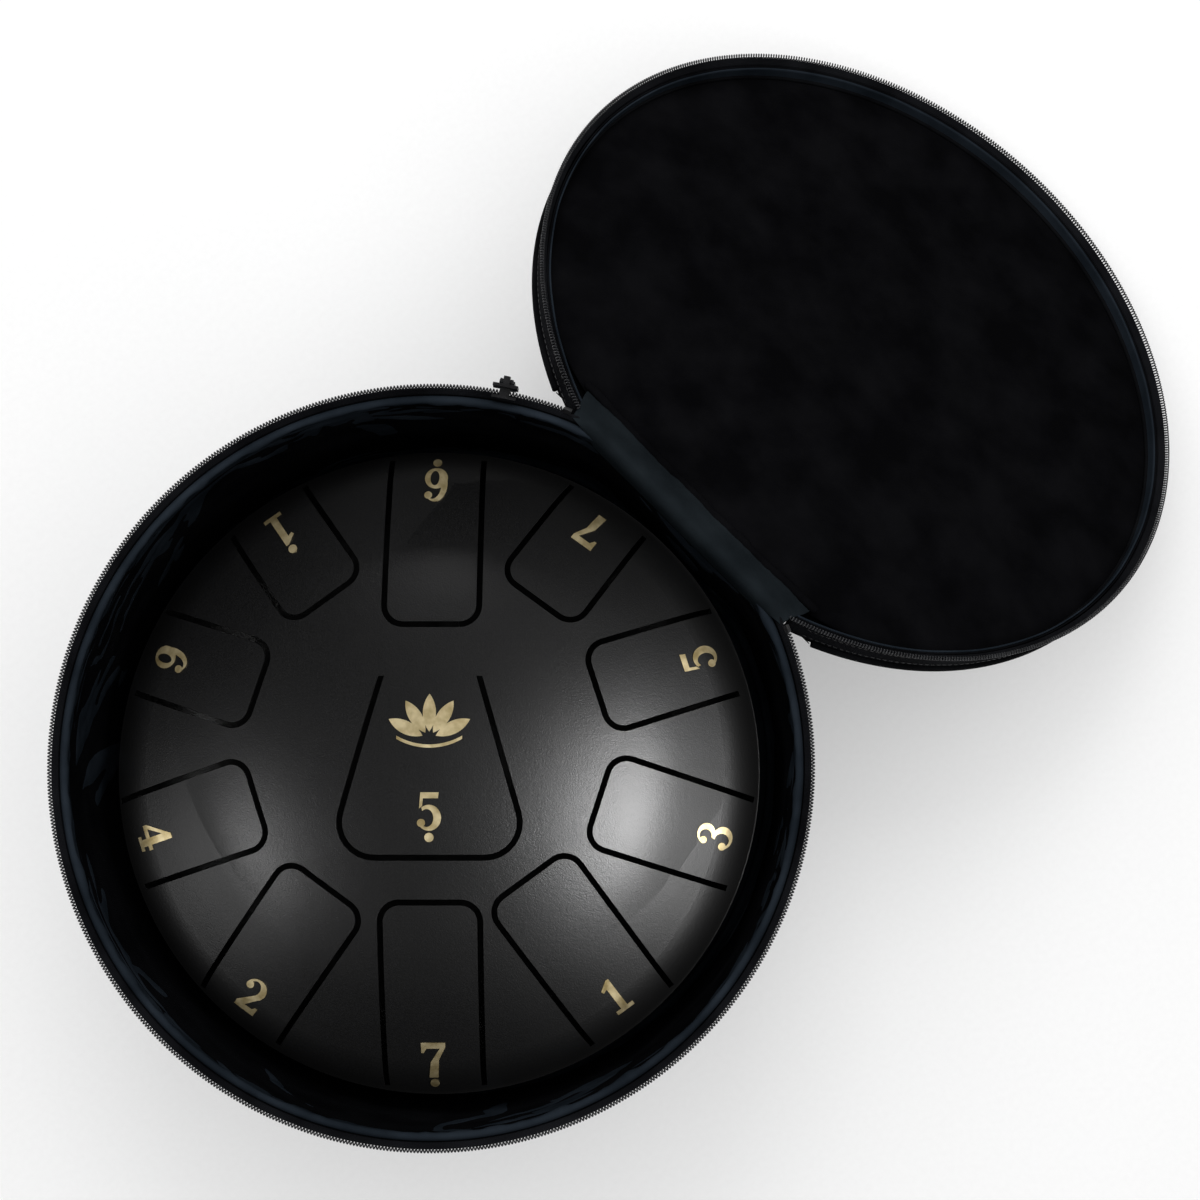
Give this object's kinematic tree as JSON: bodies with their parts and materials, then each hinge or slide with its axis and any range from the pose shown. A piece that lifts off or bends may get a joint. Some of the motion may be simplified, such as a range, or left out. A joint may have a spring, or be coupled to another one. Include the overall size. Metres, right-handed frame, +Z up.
{
  "type": "steel tongue drum in a round carry bag",
  "caption": "Domed steel tongue drum with numbered tongues, lying in a round padded zip bag whose lid is flung open and slopes down to the table.",
  "frame": {"origin": "centre of the bag's round base, on the surface it stands on", "axes": "+Z up, +Y from the bag's axis towards the lid's fold line, +X to the right of it"},
  "size_m": [0.3452, 0.6074, 0.2045],
  "materials": {
    "shell_fabric": "matte",
    "padding": "matte",
    "lining": "satin",
    "hinge_fabric": "satin",
    "lid_lining": "satin",
    "piping": "matte",
    "zip_tape": "matte",
    "zip_coil": "satin",
    "zip_metal": "satin",
    "webbing": "matte",
    "drum_paint": "satin",
    "rubber": "matte",
    "gold_foil": "gloss"
  },
  "bodies": {
    "bag": {"bottom_panel": "shell_fabric", "bottom_foam": "padding", "bottom_lining": "lining", "side_wall": "shell_fabric", "side_foam": "padding", "side_lining": "lining", "bottom_piping": "piping", "rim_zip_tape": "zip_tape", "rim_zip_coil": "zip_coil", "zip_stops": "zip_metal", "hinge_strip": "hinge_fabric", "handle_patches": "webbing"},
    "lid": {"lid_panel": "shell_fabric", "lid_foam": "padding", "lid_lining": "lid_lining", "lid_skirt": "shell_fabric", "lid_skirt_lining": "lining", "lid_piping": "piping", "lid_zip_tape": "zip_tape", "lid_zip_coil": "zip_coil"},
    "slider": {"zip_slider": "zip_metal"},
    "pull": {"zip_pull": "zip_metal"},
    "handle": {"carry_handle": "webbing"},
    "drum": {"top_shell": "drum_paint", "bottom_shell": "drum_paint", "weld_seam": "drum_paint", "port_grommet": "rubber", "feet": "rubber", "note_6_low": "gold_foil", "note_1_high": "gold_foil", "note_6": "gold_foil", "note_4": "gold_foil", "note_2": "gold_foil", "note_7_low": "gold_foil", "note_1": "gold_foil", "note_3": "gold_foil", "note_5": "gold_foil", "note_7": "gold_foil", "note_5_low": "gold_foil", "emblem": "gold_foil"}
  },
  "joints": [
    {"name": "lid_hinge", "type": "hinge", "parent": "bag", "child": "lid", "pos_m": [0, 0.16, 0.2], "axis": [1, 0, 0], "range_deg": [0, 213.91]},
    {"name": "drum_lift", "type": "slide", "parent": "bag", "child": "drum", "axis": [0, 0, 1], "range_m": [0, 0.25]},
    {"name": "slider_travel", "type": "hinge", "parent": "bag", "child": "slider", "pos_m": [0, 0, 0.2], "axis": [0, 0, 1], "range_deg": [0, 296]},
    {"name": "pull_swing", "type": "hinge", "parent": "slider", "child": "pull", "pos_m": [-0.09859, 0.14616, 0.201], "axis": [0.829, 0.5592, 0], "range_deg": [0, 160]},
    {"name": "handle_swing", "type": "hinge", "parent": "bag", "child": "handle", "pos_m": [0, -0.16088, 0.15], "axis": [-1, 0, 0], "range_deg": [0, 50]}
  ]
}
